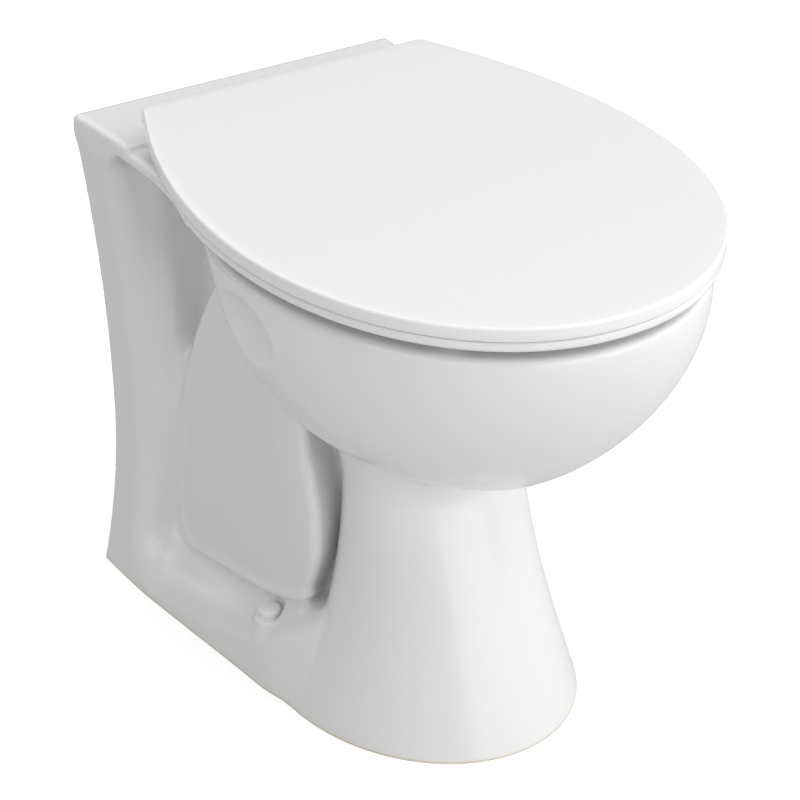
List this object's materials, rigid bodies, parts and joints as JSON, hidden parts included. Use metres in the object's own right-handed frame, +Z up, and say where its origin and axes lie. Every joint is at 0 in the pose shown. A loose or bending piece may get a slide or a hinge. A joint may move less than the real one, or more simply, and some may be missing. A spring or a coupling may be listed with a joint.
{
  "type": "back to wall toilet",
  "caption": "Floor-standing ceramic toilet pan with an open back for a wall or unit, a flat egg-shaped lid over a hinged seat ring, and a horizontal outlet at the rear.",
  "frame": {"origin": "on the floor, in the middle of the toilet's width and of its depth from the wall to the front of the lid", "axes": "+Z up, +Y towards the wall, +X towards the right as seen from the front"},
  "size_m": [0.356, 0.527, 0.4319],
  "materials": {
    "glazed_ceramic": "white gloss glaze",
    "seat_plastic": "white gloss",
    "hinge_plastic": "white satin",
    "buffer_plastic": "translucent white, matt",
    "rubber": "grey, matt",
    "steel": "brushed"
  },
  "bodies": {
    "pan_body": {"pan": "glazed_ceramic", "hinge_post_left": "hinge_plastic", "hinge_post_right": "hinge_plastic", "hinge_pin_left": "steel", "hinge_pin_right": "steel", "post_gasket_left": "rubber", "post_gasket_right": "rubber", "fixing_bolt_left": "steel", "fixing_bolt_right": "steel", "cone_bush_left": "rubber", "cone_bush_right": "rubber", "fixing_washer_left": "hinge_plastic", "fixing_washer_right": "hinge_plastic", "wing_nut_left": "hinge_plastic", "wing_nut_right": "hinge_plastic", "cap_base_left": "hinge_plastic", "cap_base_right": "hinge_plastic", "screw_cap_left": "hinge_plastic", "screw_cap_right": "hinge_plastic", "inlet_seal": "rubber"},
    "seat_body": {"seat_ring": "seat_plastic", "seat_buffers_front": "buffer_plastic", "seat_buffers_rear": "buffer_plastic"},
    "lid_body": {"lid": "seat_plastic", "lid_buffers": "buffer_plastic"}
  },
  "joints": [
    {"name": "seat_hinge", "type": "hinge", "parent": "pan_body", "child": "seat_body", "pos_m": [0, 0.1915, 0.4207], "axis": [-1, 0, 0], "range_deg": [0, 94]},
    {"name": "lid_hinge", "type": "hinge", "parent": "seat_body", "child": "lid_body", "pos_m": [0, 0.1915, 0.4207], "axis": [-1, 0, 0], "range_deg": [0, 91]}
  ]
}
